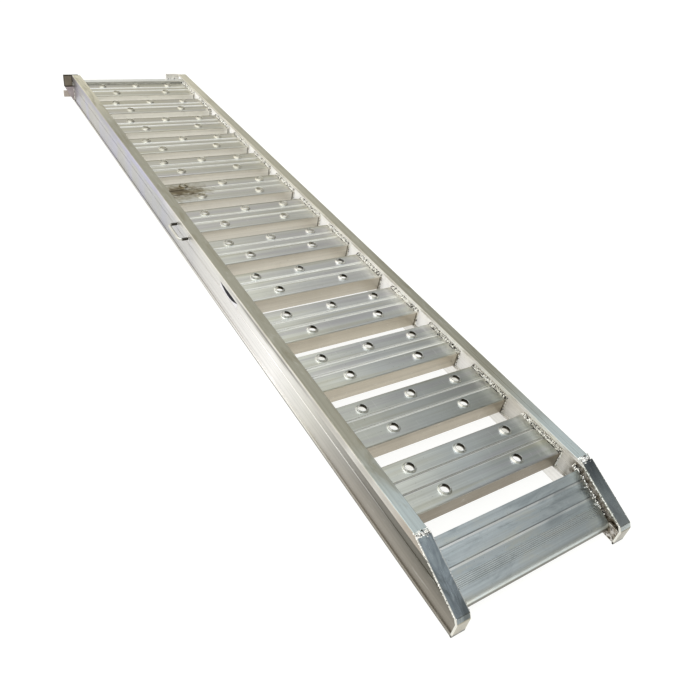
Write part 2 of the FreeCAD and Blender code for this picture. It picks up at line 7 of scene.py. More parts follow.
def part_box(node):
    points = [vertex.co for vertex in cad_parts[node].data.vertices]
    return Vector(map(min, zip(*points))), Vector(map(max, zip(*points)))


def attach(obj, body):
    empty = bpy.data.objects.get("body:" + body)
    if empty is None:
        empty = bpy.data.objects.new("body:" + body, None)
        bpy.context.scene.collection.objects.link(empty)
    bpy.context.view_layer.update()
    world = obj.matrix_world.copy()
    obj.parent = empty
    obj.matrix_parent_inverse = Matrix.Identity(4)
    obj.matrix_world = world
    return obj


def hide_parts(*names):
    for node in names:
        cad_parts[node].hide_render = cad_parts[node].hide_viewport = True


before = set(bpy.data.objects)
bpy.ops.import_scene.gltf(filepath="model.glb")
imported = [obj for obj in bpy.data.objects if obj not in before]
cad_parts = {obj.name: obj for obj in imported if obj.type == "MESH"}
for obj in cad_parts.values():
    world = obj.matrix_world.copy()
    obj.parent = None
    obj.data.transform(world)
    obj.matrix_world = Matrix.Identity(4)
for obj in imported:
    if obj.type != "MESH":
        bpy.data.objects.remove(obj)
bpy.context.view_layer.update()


# ---- Camera, floor and light -------------------------------------------------------------------
# A plain pale floor that glows a little, and a room lit softly from the left and above: the bare
# metal mirrors it brighter on that side, and warmer near the horizon. The camera is at the foot.

def srgb(code):
    """A hex sRGB colour as the linear colour that Blender's sockets take."""
    parts = [int(code[place:place + 2], 16) / 255 for place in (1, 3, 5)]
    linear = [part / 12.92 if part <= 0.04045 else ((part + 0.055) / 1.055) ** 2.4 for part in parts]
    return (*linear, 1.0)


def add(tree, kind, inputs=None, **settings):
    """Add one node with its own settings; each input is given a value or another node's output."""
    made = tree.nodes.new(kind)
    for name, setting in settings.items():
        setattr(made, name, setting)
    for name, value in (inputs or {}).items():
        if isinstance(value, bpy.types.NodeSocket):
            tree.links.new(value, made.inputs[name])
        else:
            made.inputs[name].default_value = value
    return made


def aim(place, heading, dip, roll):
    """A camera's matrix from its place, its heading from +Y, its dip below level and its roll."""
    forward = Vector((math.sin(heading) * math.cos(dip), math.cos(heading) * math.cos(dip),
                      -math.sin(dip)))
    level = Vector((math.cos(heading), -math.sin(heading), 0))
    upright = level.cross(forward)
    right = math.cos(roll) * level + math.sin(roll) * upright
    up = -math.sin(roll) * level + math.cos(roll) * upright
    turn = Matrix((right, up, -forward)).transposed().to_4x4()
    return Matrix.Translation(place) @ turn


camera = bpy.data.objects.new("camera", bpy.data.cameras.new("camera"))
camera.data.sensor_width = 36
camera.data.lens = 33.32
camera.data.clip_start = 0.05
camera.matrix_world = aim(Vector((-0.8083, -1.543, 1.0413)), 0.6863, 0.6672, 0.2140)
bpy.context.scene.collection.objects.link(camera)
bpy.context.scene.camera = camera
bpy.context.scene.view_settings.view_transform = "Standard"

floor_reach = 30
floor_mesh = bpy.data.meshes.new("floor")
floor_mesh.from_pydata([(-floor_reach, -floor_reach, 0), (floor_reach, -floor_reach, 0),
                        (floor_reach, floor_reach, 0), (-floor_reach, floor_reach, 0)],
                       [], [(0, 1, 2, 3)])
floor = bpy.data.objects.new("floor", floor_mesh)
bpy.context.scene.collection.objects.link(floor)

# Matt emulsion paint: no gloss, and a glow of its own that keeps it pale under the soft light.
floor_paint = bpy.data.materials.new("pale_floor")
floor_paint.use_nodes = True
floor_shader = floor_paint.node_tree.nodes["Principled BSDF"]
floor_shader.inputs["Base Color"].default_value = srgb("#6C6C6A")
floor_shader.inputs["Roughness"].default_value = 0.9
floor_shader.inputs["Emission Color"].default_value = srgb("#FFFFFD")
floor_shader.inputs["Emission Strength"].default_value = 0.91
floor_mesh.materials.append(floor_paint)

# The room lights and is mirrored brighter to the left and warmer low down. Seen straight, behind
# the floor's edge, it is one plain pale shade.
room = bpy.data.worlds.new("pale_room")
bpy.context.scene.world = room
room.use_nodes = True
room.node_tree.nodes.clear()
ray = add(room.node_tree, "ShaderNodeTexCoord").outputs["Generated"]
slope = add(room.node_tree, "ShaderNodeVectorMath", {0: ray, 1: (-1.25, 0.06, 0.45)},
            operation="DOT_PRODUCT").outputs["Value"]
glow = add(room.node_tree, "ShaderNodeMapRange", {"Value": slope, "From Min": -0.68, "From Max": 0.52,
                                                  "To Min": 0.2, "To Max": 1.4}).outputs[0]
height = add(room.node_tree, "ShaderNodeSeparateXYZ", {0: ray}).outputs["Z"]
shades = add(room.node_tree, "ShaderNodeValToRGB", {0: height})
shades.color_ramp.elements[0].position = 0.2
shades.color_ramp.elements[0].color = srgb("#FFF8E8")
shades.color_ramp.elements[1].position = 0.85
shades.color_ramp.elements[1].color = srgb("#F2F8FF")
sky = add(room.node_tree, "ShaderNodeBackground", {"Color": shades.outputs["Color"], "Strength": glow})
backdrop = add(room.node_tree, "ShaderNodeBackground", {"Color": srgb("#F4F4F2"), "Strength": 1.0})
seen = add(room.node_tree, "ShaderNodeLightPath").outputs["Is Camera Ray"]
walls = add(room.node_tree, "ShaderNodeMixShader", {0: seen, 1: sky.outputs[0], 2: backdrop.outputs[0]})
add(room.node_tree, "ShaderNodeOutputWorld", {"Surface": walls.outputs[0]})

softbox = bpy.data.objects.new("softbox", bpy.data.lights.new("softbox", "AREA"))
softbox.data.shape = "RECTANGLE"
softbox.data.size = 3
softbox.data.size_y = 4
softbox.data.energy = 45
softbox.location = (-1.2, 0.6, 3.2)
softbox.rotation_euler = Vector((1.2, -0.6, -3.2)).to_track_quat("-Z", "Y").to_euler()
bpy.context.scene.collection.objects.link(softbox)


# ---- Rails --------------------------------------------------------------------------------------
# Two hollow aluminium extrusions, mill finish: the die leaves fine lines along their length. Rain
# and hands leave their tops dull, and the left outer web is painted with the reflections it shows,
# bright along its length and dark at the foot.

MM = 0.001


class Finish:
    """One material: a colour, with others laid over it in places, and then its gloss.

    A place is a list of limits, and all of them have to hold. (value, start, full) rises from
    nothing at the start to full; (value, middle, half, soft) holds within half of the middle and
    fades over a soft edge; a mask or a plain number is a share."""

    def __init__(self, name, colour, metallic):
        self.material = bpy.data.materials.new(name)
        self.material.use_nodes = True
        self.tree = self.material.node_tree
        self.shader = self.tree.nodes["Principled BSDF"]
        self.shader.inputs["Metallic"].default_value = metallic
        self.place = add(self.tree, "ShaderNodeTexCoord").outputs["Object"]
        self.x, self.y, self.z = add(self.tree, "ShaderNodeSeparateXYZ", {0: self.place}).outputs
        self.colour = srgb(colour)

    def away(self, value, middle):
        """How far a value is from a middle, on either side."""
        off = add(self.tree, "ShaderNodeMath", {0: value, 1: middle}, operation="SUBTRACT")
        return add(self.tree, "ShaderNodeMath", {0: off.outputs[0]}, operation="ABSOLUTE").outputs[0]

    def where(self, *limits):
        """The mask of a place."""
        shares = []
        for limit in limits:
            if isinstance(limit, tuple):
                value, start, full = limit[:3]
                if len(limit) == 4:
                    middle, half, soft = limit[1:]
                    value, start, full = self.away(value, middle), half + soft, half
                limit = add(self.tree, "ShaderNodeMapRange",
                            {"Value": value, "From Min": start, "From Max": full}).outputs[0]
            shares.append(limit)
        mask = shares[0]
        for share in shares[1:]:
            mask = add(self.tree, "ShaderNodeMath", {0: mask, 1: share}, operation="MULTIPLY").outputs[0]
        return mask

    def lay(self, colour, *limits):
        """Lay a colour over what is there, in one place."""
        over = srgb(colour) if isinstance(colour, str) else colour
        layers = {"Factor": self.where(*limits), 6: self.colour, 7: over}
        self.colour = add(self.tree, "ShaderNodeMix", layers, data_type="RGBA").outputs[2]

    def mottle(self, grain, detail=3.0, rough=0.6, bent=0.0):
        """An uneven pattern with so many marks in a metre, the same all ways or along X, Y and Z."""
        steps = grain if isinstance(grain, tuple) else (grain, grain, grain)
        stretched = add(self.tree, "ShaderNodeVectorMath", {0: self.place, 1: steps}, operation="MULTIPLY")
        return add(self.tree, "ShaderNodeTexNoise", {
            "Vector": stretched.outputs[0], "Scale": 1.0, "Detail": detail, "Roughness": rough,
            "Distortion": bent}).outputs["Fac"]

    def put_on(self, nodes, roughness):
        """Give the colour and the roughness to the shader, and the material to its nodes."""
        self.tree.links.new(self.colour, self.shader.inputs["Base Color"])
        self.tree.links.new(roughness, self.shader.inputs["Roughness"])
        for node in nodes:
            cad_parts[node].data.materials.clear()
            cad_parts[node].data.materials.append(self.material)


class Metal(Finish):
    """Bare aluminium, worn in cloudy patches some 90 mm wide, with the marks that all of it bears."""

    def __init__(self, name, colour, worn, worn_share=0.5):
        super().__init__(name, colour, 1.0)
        self.cloud = self.mottle(11.0, 6.0, 0.65, 0.5)
        self.lay(worn, (self.cloud, 0.4, 0.66), worn_share)

    def finish(self, nodes, grain, lines, bands, roughness, bump=0.12, relief=None):
        """Lay on the die lines, dirt specks and scratches, and put the material on its nodes.

        grain is how many die lines there are in a metre along X, Y and Z. lines, and the broad
        bands that about six of them make, say how much they change the tone. Real die lines are
        tenths of a millimetre apart; 900 to 420 in a metre, or 1.1 to 2.4 mm, is as coarse as
        they need to be to show. relief is any height besides, in millimetres."""
        tree = self.tree
        die = self.mottle(grain, 4.0, 0.75)
        band = self.mottle(tuple(0.16 * step for step in grain), 2.0)
        fine = add(tree, "ShaderNodeMapRange", {"Value": die, "From Min": 0.3, "From Max": 0.7,
                                                "To Min": 1 - lines, "To Max": 1 + lines})
        broad = add(tree, "ShaderNodeMapRange", {"Value": band, "From Min": 0.35, "From Max": 0.65,
                                                 "To Min": -bands, "To Max": bands})
        tone = add(tree, "ShaderNodeMath", {0: fine.outputs[0], 1: broad.outputs[0]}, operation="ADD")
        self.colour = add(tree, "ShaderNodeVectorMath", {0: self.colour, "Scale": tone.outputs[0]},
                          operation="SCALE").outputs[0]
        dirt = self.mottle(260.0, 2.0)
        self.lay("#6A655A", (dirt, 0.69, 0.76), 0.55)
        scratch = self.mottle((140.0, 14.0, 140.0), 2.0, 0.5, 1.4)
        self.lay("#FAFAF7", (scratch, 0.66, 0.72), 0.16)
        patchy = add(tree, "ShaderNodeMath", {0: self.cloud, 1: 0.5}, operation="SUBTRACT").outputs[0]
        rough = add(tree, "ShaderNodeMath", {0: patchy, 1: 0.3, 2: roughness}, operation="MULTIPLY_ADD")
        self.put_on(nodes, rough.outputs[0])
        uneven = add(tree, "ShaderNodeMath", {0: self.cloud, 1: 2.5, 2: die}, operation="MULTIPLY_ADD")
        height = add(tree, "ShaderNodeMath", {0: uneven.outputs[0], 1: 0.4 * bump},
                     operation="MULTIPLY").outputs[0]
        if relief is not None:
            height = add(tree, "ShaderNodeMath", {0: height, 1: relief}, operation="ADD").outputs[0]
        lifted = add(tree, "ShaderNodeBump", {"Height": height, "Distance": MM})
        tree.links.new(lifted.outputs["Normal"], self.shader.inputs["Normal"])


# Mill-finish aluminium: white-grey and half matt, with a fine grain along the rail. The left one's
# outer web is painted with the reflections it shows: dark at the foot, bright a quarter of the way
# along, and violet-grey beyond the middle, a painted reflection of the sky. Places along the ramp
# are in metres from its middle, and its foot is at -Y.
rail_low, rail_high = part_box("left_rail")
right_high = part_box("right_rail")[1]
between_rails = (rail_low.x + right_high.x) / 2
lip_bottom = rail_high.z - 19 * MM
rib_top = rail_high.z - 41.5 * MM
ledge_top = 34 * MM
inner_face_x = right_high.x - 19.5 * MM
metal = Metal("mill_finish_rail_aluminium", "#ECEAE6", "#D3D1CB", 0.4)
outside = metal.where((metal.x, rail_low.x + 5 * MM, rail_low.x + 3.4 * MM))
share_along = metal.where((metal.y, rail_low.y, rail_high.y))
# Painted reflection along the left outer web: dark at the foot, bright, then grey toward the far end.
web_reflection_ramp = add(metal.tree, "ShaderNodeValToRGB", {0: share_along})
web_reflection_tones = ((0.04, "#67645B"), (0.12, "#827F78"), (0.16, "#9F9D97"), (0.21, "#CCCAC3"),
             (0.28, "#ECEAE8"), (0.44, "#D1CFCC"), (0.58, "#B3B3B3"), (0.9, "#B5B3AF"))
for share, shade in web_reflection_tones:
    web_reflection_ramp.color_ramp.elements.new(share).color = srgb(shade)
web_reflection_ramp.color_ramp.elements[0].color = srgb(web_reflection_tones[0][1])
web_reflection_ramp.color_ramp.elements[-1].color = srgb(web_reflection_tones[-1][1])
metal.lay(web_reflection_ramp.outputs["Color"], outside, (metal.z, lip_bottom + 0.5 * MM, lip_bottom - 0.5 * MM))
# Painted violet-grey reflection of the sky, smeared, beyond the middle of the web.
sky_reflection_smear = metal.mottle((1.0, 9.0, 2.0), 3.0, 0.5)
metal.lay("#B0B0C3", outside, (metal.y, -0.1, 0.25), (sky_reflection_smear, 0.45, 0.6), 0.6)

lip = metal.where(outside, (metal.z, lip_bottom - 0.5 * MM, lip_bottom + 0.5 * MM))
patches = metal.mottle((1.0, 7.0, 1.0), 2.0)
metal.lay("#DAD8D3", lip)
metal.lay("#B9B5AD", lip, (patches, 0.4, 0.6), 0.7)
# Painted reflection on the lip: violet-grey just beyond the middle, and pink-beige at the foot.
metal.lay("#B3B2C6", lip, (metal.y, 0.05, 0.3), 0.9)
metal.lay("#A3A1A4", lip, (metal.y, 0.5, 0.8), 0.8)
metal.lay("#A79C8E", lip, (metal.y, -0.98, -1.08), 0.8)

# Marks on the left web: two dark lines low down, grime low down by the foot, a painted highlight
# along the bottom edge that is dark toward the foot, a painted highlight along the rib's top edge,
# and a grey patch on the lip.
for line in (17 * MM, 8.6 * MM):
    metal.lay("#85817A", outside, (metal.y, -0.6, -0.3), 0.4, (metal.z, line, 0.5 * MM, 0.5 * MM))
metal.lay("#B5ADA2", outside, (metal.z, rib_top - 0.5 * MM, 30 * MM), (metal.y, -0.7, -0.9), 0.35)
# Painted highlight along the bottom edge.
metal.lay("#C6C1B3", outside, (metal.z, 5 * MM, 3 * MM), 0.8)
metal.lay("#55524D", outside, (metal.z, 4 * MM, 3 * MM), (metal.y, 0.0, -0.3), 0.9)
# Painted highlight along the rib's top edge.
metal.lay("#FAF8F5", outside, (metal.z, rib_top - 1 * MM, 1 * MM, 0.6 * MM), (metal.y, -0.7, 0.15, 0.2), 0.5)
metal.lay("#87847F", outside, (metal.z, rail_high.z - 8 * MM, 2.6 * MM, 1.4 * MM),
          (metal.y, -0.52, 0.12, 0.12), 0.8)

# The right rail's inner web: chalky white oxide above the ledge, so less of a mirror, and brown
# with the plank's welding at the foot, where the ledge is crusty and specked too.
inner_web = metal.where((metal.x, inner_face_x, 1 * MM, 0.5 * MM), (metal.z, ledge_top, ledge_top + 1 * MM))
chalky = metal.where(inner_web, (metal.y, -0.85, -0.65))
metal.lay("#FFFFFF", chalky)
mirror = add(metal.tree, "ShaderNodeMath", {0: chalky, 1: -0.6, 2: 1.0}, operation="MULTIPLY_ADD")
metal.tree.links.new(mirror.outputs[0], metal.shader.inputs["Metallic"])
crust = add(metal.tree, "ShaderNodeMapRange", {"Value": metal.mottle(90.0, 4.0), "From Min": 0.42,
                                               "From Max": 0.58, "To Min": 0.45, "To Max": 0.95}).outputs[0]
metal.lay("#7B7364", (metal.x, inner_face_x, 4 * MM, 1 * MM), crust, (metal.y, -1.075, -1.1))
lower_end = metal.where((metal.z, ledge_top + 4 * MM, ledge_top + 1 * MM), (metal.y, -1.19, -1.21),
                        (metal.away(metal.x, between_rails), 226 * MM, 224 * MM))
metal.lay("#7C7262", lower_end, crust)
metal.lay("#3A352B", lower_end, (metal.mottle(190.0, 3.0), 0.52, 0.58), 0.9)

# The tops, dulled by rain and hands, and blotched; painted buff toward the far end and cool grey at
# the foot, a painted reflection of a warm horizon and a cooler sky, on the right top too.
on_top = metal.where((metal.z, rail_high.z - 1 * MM, rail_high.z - 0.3 * MM))
metal.lay("#A6A394", on_top)
metal.lay("#DCD7C3", on_top, (metal.y, 0.75, 1.1), 0.9)
metal.lay("#BFC8C7", on_top, (metal.y, -0.88, -1.04), 0.9)
blotch = metal.mottle((30.0, 7.0, 1.0), 4.0, 0.65, 0.7)
metal.lay("#8B846E", on_top, (blotch, 0.52, 0.66), 0.5)
metal.lay("#C2C0B4", on_top, (blotch, 0.42, 0.3), 0.4)
on_right = metal.where(on_top, (metal.x, 0.0, 10 * MM))
# Painted reflection on the right top: buff toward the middle, cool at the foot.
metal.lay("#C6C1AF", on_right, (metal.y, -0.5, 0.1), 0.55)
metal.lay("#D8E0DF", on_right, (metal.y, -0.8, -1.0), 0.5)
top_rough = add(metal.tree, "ShaderNodeMath", {0: on_top, 1: 0.22, 2: 0.42}, operation="MULTIPLY_ADD")
rail_rough = add(metal.tree, "ShaderNodeMath", {0: inner_web, 1: 0.4, 2: top_rough.outputs[0]},
                 operation="MULTIPLY_ADD")
metal.finish(("left_rail", "right_rail"), (900.0, 2.0, 900.0), 0.07, 0.06, rail_rough.outputs[0])


# ---- Nose caps ----------------------------------------------------------------------------------
# Aluminium strip bent over the slope and the end of each rail. It is brighter rolled than the
# rails and mirrors the room, darker and bluer where the welder's heat and hands have marked it,
# and the right one is painted with reflection, lighter low down and darker at the top.

cap_low, cap_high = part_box("left_nose_cap")
cap_width = cap_high.x - cap_low.x
nose_bend = 7 * MM
nose_height = 50 * MM

# Rolled sheet: smooth, so it is the clearest mirror on the ramp. It has wiped smears, soot by the
# top weld, buff dirt on the end face, bright rubbed side edges and black grime along the bottom.
metal = Metal("rolled_cap_aluminium", "#ADB6B9", "#7C8488", 0.75)
burnt = metal.mottle(45.0, 4.0)
metal.lay("#5A5E60", (metal.y, cap_high.y - 22 * MM, cap_high.y), (burnt, 0.4, 0.6))
wiped = metal.mottle((30.0, 9.0, 9.0), 3.0, 0.6, 0.8)
metal.lay("#C3CDCC", (wiped, 0.5, 0.58), 0.75)
metal.lay("#666C6B", (wiped, 0.46, 0.36), 0.7)
metal.lay("#55595A", (metal.y, cap_low.y + 60 * MM, cap_low.y + 15 * MM), 0.3)
right_cap = metal.where((metal.x, 0.0, 10 * MM))
# Painted reflection on the right cap: lighter toward its lower end, darker near its top.
metal.lay("#D0D8D8", right_cap, (metal.y, cap_high.y - 60 * MM, cap_low.y), 0.7)
metal.lay("#5F6568", right_cap, (metal.y, cap_high.y - 85 * MM, cap_high.y - 20 * MM), 0.7)
end_face = metal.where((metal.y, cap_low.y + 1.5 * MM, cap_low.y + 0.5 * MM))
metal.lay("#A9A392", end_face)
metal.lay("#7D7767", end_face, right_cap, 0.6)
from_cap_middle = metal.away(metal.away(metal.x, between_rails), (right_high.x - rail_low.x - cap_width) / 2)
metal.lay("#EFECE2", (from_cap_middle, cap_width / 2 - 1.6 * MM, cap_width / 2 - 0.8 * MM), 0.8)
metal.lay("#2E2A22", (metal.z, 8 * MM, 4 * MM), (burnt, 0.4, 0.5))
metal.finish(("left_nose_cap", "right_nose_cap"), (600.0, 6.0, 6.0), 0.05, 0.05, 0.27, bump=0.25)


# ---- Rungs --------------------------------------------------------------------------------------
# Grooved inverted channels, drawn across the ramp, with grip holes punched up through them. The
# ends are brushed bright beside the welds, and mud has dried at the left end of the sixth.

rung_low, rung_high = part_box("rung_06")
rung_names = sorted(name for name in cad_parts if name.startswith("rung_"))
grip_rise = 5 * MM
rung_top = rung_high.z - grip_rise
rung_middle = (rung_low + rung_high) / 2
half_x = (rung_high.x - rung_low.x) / 2
half_y = (rung_high.y - rung_low.y) / 2
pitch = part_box("rung_01")[0].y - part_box("rung_02")[0].y

# Mill-finish aluminium with its die lines across the ramp. It is painted buff toward the far end
# and cool at the foot, a painted reflection of a warm horizon and a cooler sky, with faint bands of
# oxide. row is the distance from a rung's own middle along the ramp.
metal = Metal("mill_finish_rung_aluminium", "#D0D0CB", "#BFC0BB", 0.5)
metal.lay("#BDBAAA", (metal.y, -0.3, 0.8), 0.85)
metal.lay("#C5CECC", (metal.y, -0.35, -1.0), 0.5)
# Painted light: the rungs are lighter on the left and darker on the right, toward the foot.
metal.lay("#95978B", (metal.y, -0.5, -0.8), (metal.x, rung_middle.x, rung_middle.x + 0.15), 0.5)
metal.lay("#E8E8DA", (metal.y, 0.1, -0.3), (metal.x, rung_middle.x - 0.02, rung_middle.x - 0.16), 0.7)
tinge = metal.mottle((1.5, 38.0, 38.0), 2.0)
metal.lay("#B9B4BA", (tinge, 0.52, 0.62), 0.35)
metal.lay("#BDB89C", (tinge, 0.46, 0.36), 0.35)
side_wall = metal.where((metal.z, rung_top - 2.5 * MM, rung_top - 5 * MM))
on_face = metal.where((metal.z, rung_top - 5 * MM, rung_top - 2.5 * MM))
from_sixth = add(metal.tree, "ShaderNodeMath", {0: metal.y, 1: rung_middle.y}, operation="SUBTRACT")
row = add(metal.tree, "ShaderNodeMath", {0: from_sixth.outputs[0], 1: pitch / 2, 2: -pitch / 2},
          operation="WRAP").outputs[0]
metal.lay("#8A8672", (row, half_y, 6 * MM, 5 * MM), on_face, (metal.y, -0.5, 0.3), 0.7)
twelfth_low, twelfth_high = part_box("rung_12")
metal.lay("#85867C", (metal.y, (twelfth_low.y + twelfth_high.y) / 2, half_y, 20 * MM), 0.3)

# Each groove: painted highlights along its lips, widest toward the far end, and a thin line of
# painted shade along its far edge. The cut is painted pale and mirrors less, painted light against
# the shade in it, with a dark seam of painted shade near the foot.
mirror = 1.0
for groove in (15.3 * MM, -15.3 * MM):
    gleam = add(metal.tree, "ShaderNodeMapRange", {"Value": metal.y, "From Min": -1.0, "From Max": -0.3,
                                                   "To Min": 0.1, "To Max": 0.8}).outputs[0]
    # Painted highlights along the groove's lips.
    metal.lay("#FFFFF8", (row, groove + 1 * MM, 3.2 * MM, 3 * MM), on_face, gleam)
    metal.lay("#FFFFFA", (row, groove - 1 * MM, 5 * MM, 2.5 * MM), on_face, (metal.y, 0.0, 0.7), 0.95)
    # Painted shade along the groove's far edge.
    metal.lay("#5D5B53", (row, groove + 2.8 * MM, 0.5 * MM, 0.5 * MM), on_face, (metal.y, -0.2, -0.9), 0.25)
    cut_light_share = add(metal.tree, "ShaderNodeMapRange", {"Value": metal.y, "From Min": -1.1, "From Max": -0.7,
                                                   "To Min": 0.5, "To Max": 0.95}).outputs[0]
    cut = metal.where((row, groove, 2.6 * MM, 0.2 * MM), on_face, cut_light_share,
                      (metal.z, rung_top - 0.5 * MM, rung_top - 1 * MM))
    # Painted light in the cut.
    metal.lay("#FFFFFA", cut)
    mirror = add(metal.tree, "ShaderNodeMath", {0: cut, 1: -0.5, 2: mirror},
                 operation="MULTIPLY_ADD").outputs[0]
    # Painted shade: a dark seam in the groove toward the foot.
    metal.lay("#3B3933", (row, groove + 1 * MM, 0.7 * MM, 0.4 * MM), on_face, (metal.y, -0.7, -1.0), 0.75)
metal.tree.links.new(mirror, metal.shader.inputs["Metallic"])

# The side walls are painted with the light they catch from the floor: near white at the far end,
# through buff, to brown at the foot. The ends are brushed clean beside the welds in a ragged edge,
# with soot in dashes along it, and painted shade down each corner of the walls by the rails.
# Painted light on the side walls, darker toward the foot.
metal.lay("#F3F1EA", side_wall, 0.9)
metal.lay("#B8B0A0", side_wall, (metal.y, 0.9, -0.5), 0.95)
metal.lay("#7A7060", side_wall, (metal.y, -0.84, -1.02), 0.8)
ragged = metal.mottle(60.0, 4.0)
ragged_out = add(metal.tree, "ShaderNodeMath", {0: ragged, 1: 24 * MM, 2: metal.x}, operation="MULTIPLY_ADD")
brushed = add(metal.tree, "ShaderNodeMapRange", {"Value": metal.y, "From Min": -0.9, "From Max": -0.3,
                                                 "To Min": 0.45, "To Max": 0.9}).outputs[0]
metal.lay("#F6F4EC", (ragged_out.outputs[0], rung_high.x - 14 * MM, rung_high.x + 6 * MM), on_face, brushed)
ragged_left = add(metal.tree, "ShaderNodeMath", {0: ragged, 1: -24 * MM, 2: metal.x},
                  operation="MULTIPLY_ADD")
metal.lay("#F6F4EC", (ragged_left.outputs[0], rung_low.x + 2 * MM, rung_low.x - 10 * MM), on_face, 0.5)
dashes = metal.mottle((60.0, 110.0, 60.0), 2.0)
from_middle = metal.away(metal.x, rung_middle.x)
metal.lay("#211E18", (from_middle, half_x - 11 * MM, 1.3 * MM, 0.7 * MM), on_face, (dashes, 0.46, 0.54), 0.9)
# Painted shade down each corner where a side wall meets the rail.
metal.lay("#3F3B33", (from_middle, half_x - 6 * MM, 1.2 * MM, 0.6 * MM), side_wall, 0.85)

# The punched holes, painted by the way each face turns: a painted highlight on the raised collar's
# left slope and a lighter right one, with grey between, and painted shade on the bore's right side.
# Toward the far end these are painted nearer the face's tone.
facing = add(metal.tree, "ShaderNodeNewGeometry").outputs["True Normal"]
across, endwise, upright = add(metal.tree, "ShaderNodeSeparateXYZ", {0: facing}).outputs
collar = metal.where((metal.z, rung_top + 0.2 * MM, rung_top + 0.6 * MM))
slope = metal.where(collar, (upright, 0.6, 0.34, 0.04))
punched = add(metal.tree, "ShaderNodeMapRange", {"Value": metal.y, "From Min": 0.3, "From Max": -0.4,
                                                 "To Min": 0.25, "To Max": 1.0}).outputs[0]
# Painted highlight and shade on the collars and bores, by the way each face turns.
metal.lay("#A7AAA6", collar, (across, -0.35, 0.3, 0.12), punched)
metal.lay("#E9EAE5", slope, (across, 0.0, 0.3), punched)
metal.lay("#FFFFFF", slope, (across, -0.72, -0.82), punched)
bore = metal.where((metal.z, rung_top - 3.2 * MM, rung_top - 2.9 * MM), (upright, 0.0, 0.15, 0.1))
metal.lay("#2E2B23", bore, (across, 0.05, -0.2), (metal.y, 0.2, -0.3))
# Toward the far end the holes' painted highlight and shade are toned nearer the face.
far_hole_toning = metal.where((metal.y, -0.2, 0.3), 0.9)
metal.lay("#D3D1C6", far_hole_toning, collar)
metal.lay("#C4C2B6", far_hole_toning, bore)

# The far wall's inner face, seen through the holes, is painted near white: painted light.
metal.lay("#FFFFFA", side_wall, (row, half_y - 6 * MM, half_y - 5 * MM), (endwise, -0.5, -0.8))

# Dried mud on the sixth rung, thick by the rail and ragged at its edges.
squeezed = add(metal.tree, "ShaderNodeVectorMath", {0: metal.place, 1: (0.6, 1.0, 1.0)}, operation="MULTIPLY")
mud_middle = (0.6 * (rung_low.x + 62 * MM), rung_middle.y + 6 * MM, rung_top)
from_mud = add(metal.tree, "ShaderNodeVectorMath", {0: squeezed.outputs[0], 1: mud_middle},
               operation="DISTANCE")
mud_edge = add(metal.tree, "ShaderNodeMath", {0: ragged, 1: 95 * MM, 2: from_mud.outputs["Value"]},
               operation="MULTIPLY_ADD").outputs[0]
metal.lay("#8B8060", (mud_edge, 112 * MM, 78 * MM), 0.7)
metal.lay("#5F5238", (mud_edge, 84 * MM, 62 * MM), 0.8)
metal.finish(rung_names, (2.5, 520.0, 520.0), 0.1, 0.07, 0.4)


# ---- Foot plank and end plate -------------------------------------------------------------------
# The foot plank is a closed extrusion with a few fine ribs by its round front, scuffed smooth by
# what walks onto it. The end plate is an angle of the same metal, standing on the rails' ledges.

plank_low, plank_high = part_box("foot_plank")
slope_angle = math.atan((cap_high.z - nose_height) / (cap_high.y - cap_low.y - nose_bend))
plank_depth = 113 * MM
rib_spacing = 3.2 * MM

# Scuffed aluminium: smudged light and dark by feet, with fine die lines across, two pale grooves
# with a shaded lip each, and a round front that is darker toward its bottom. down is the way down
# its slope.
metal = Metal("scuffed_plank_aluminium", "#DDE4E3", "#BFC8C8", 0.6)
toward_foot = add(metal.tree, "ShaderNodeMath", {0: plank_high.y, 1: metal.y}, operation="SUBTRACT")
down = add(metal.tree, "ShaderNodeMath", {0: toward_foot.outputs[0], 1: math.cos(slope_angle)},
           operation="DIVIDE").outputs[0]
for groove in (38 * MM, 76 * MM):
    metal.lay("#FFFFFA", (down, groove, 2.2 * MM, 0.8 * MM))
    metal.lay("#5A5D5A", (down, groove - 2.4 * MM, 0.7 * MM, 0.7 * MM), 0.8)
smudge = metal.mottle((7.0, 30.0, 30.0), 4.0, 0.65, 0.6)
metal.lay("#E3E0CE", (smudge, 0.52, 0.64), 0.4)
metal.lay("#8E989B", (smudge, 0.46, 0.36), 0.4)
turns = add(metal.tree, "ShaderNodeMath", {0: down, 1: 2 * math.pi / rib_spacing}, operation="MULTIPLY")
ribs = add(metal.tree, "ShaderNodeMath", {0: turns.outputs[0]}, operation="SINE").outputs[0]
ribbed = metal.where((down, plank_depth - 10 * MM, 9 * MM, 1.5 * MM))
metal.lay("#7E8381", ribbed, (ribs, 0.2, 0.9), 0.5)
metal.lay("#B7BFBF", (metal.x, 0.0, 0.2), 0.45)
metal.lay("#635F53", (metal.z, 27 * MM, 23 * MM), 0.9)
metal.lay("#5A5448", (metal.z, 20 * MM, 15 * MM), 0.9)
metal.finish(("foot_plank",), (2.5, 420.0, 420.0), 0.12, 0.1, 0.38, relief=metal.where(ribbed, ribs, 0.25))

# Mill-finish aluminium again, cleaner, because nothing treads on it.
metal = Metal("end_angle_aluminium", "#E6E7E3", "#CFD0CC")
metal.finish(("end_plate",), (2.5, 420.0, 420.0), 0.08, 0.05, 0.45)


# ---- Hook plates --------------------------------------------------------------------------------
# Thick flat bar cut to a hook, with a three-cornered gusset under the left one's arm. The left
# one is painted dull brown-grey as shade, with a near-black rim along its flame-cut edges; the right
# one is painted near white, as the lit one.

arm_low, arm_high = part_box("left_hook_plate")
arm_bottom = arm_high.z - 43 * MM

